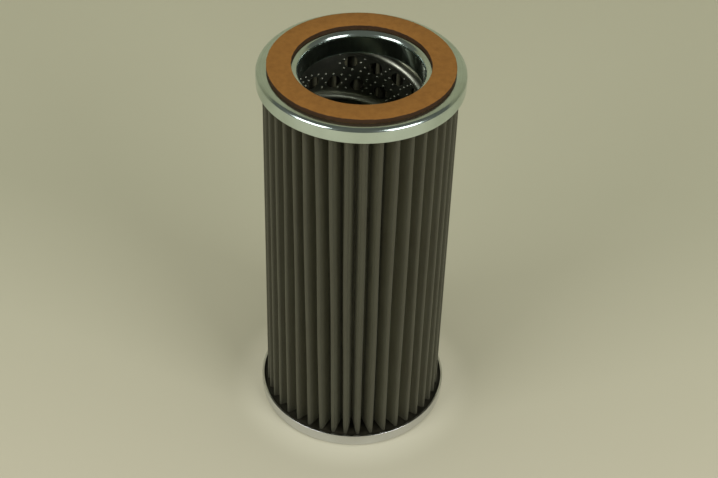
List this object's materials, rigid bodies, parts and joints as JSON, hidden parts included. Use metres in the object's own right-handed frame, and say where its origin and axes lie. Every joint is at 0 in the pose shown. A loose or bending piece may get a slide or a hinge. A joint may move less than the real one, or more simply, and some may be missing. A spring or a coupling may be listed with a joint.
{
  "type": "oil filter element",
  "caption": "Hydraulic oil filter element: pleated steel wire cloth round a perforated core, pressed steel end caps, open at one end with a flat ring gasket.",
  "frame": {"origin": "where the element's axis meets the surface that it stands on", "axes": "+Z along the axis, out of the open end with the gasket; -Y is the side that the picture shows"},
  "size_m": [0.07, 0.07, 0.148],
  "materials": {
    "gasket_fibre": "matt tan compressed fibre sheet",
    "zinc_plate": "bright zinc plated pressed steel",
    "potting_resin": "dark cured potting resin",
    "wire_cloth": "fine woven steel wire cloth, dull grey-brown",
    "clip_steel": "plain rolled steel strip",
    "core_steel": "oiled rolled steel strip"
  },
  "bodies": {
    "root": {"top_gasket": "gasket_fibre", "top_cap": "zinc_plate", "top_resin": "potting_resin", "pleated_mesh": "wire_cloth", "seam_clip": "clip_steel", "core_tube": "core_steel", "core_beads": "core_steel", "bottom_resin": "potting_resin", "bottom_cap": "zinc_plate"}
  },
  "joints": []
}
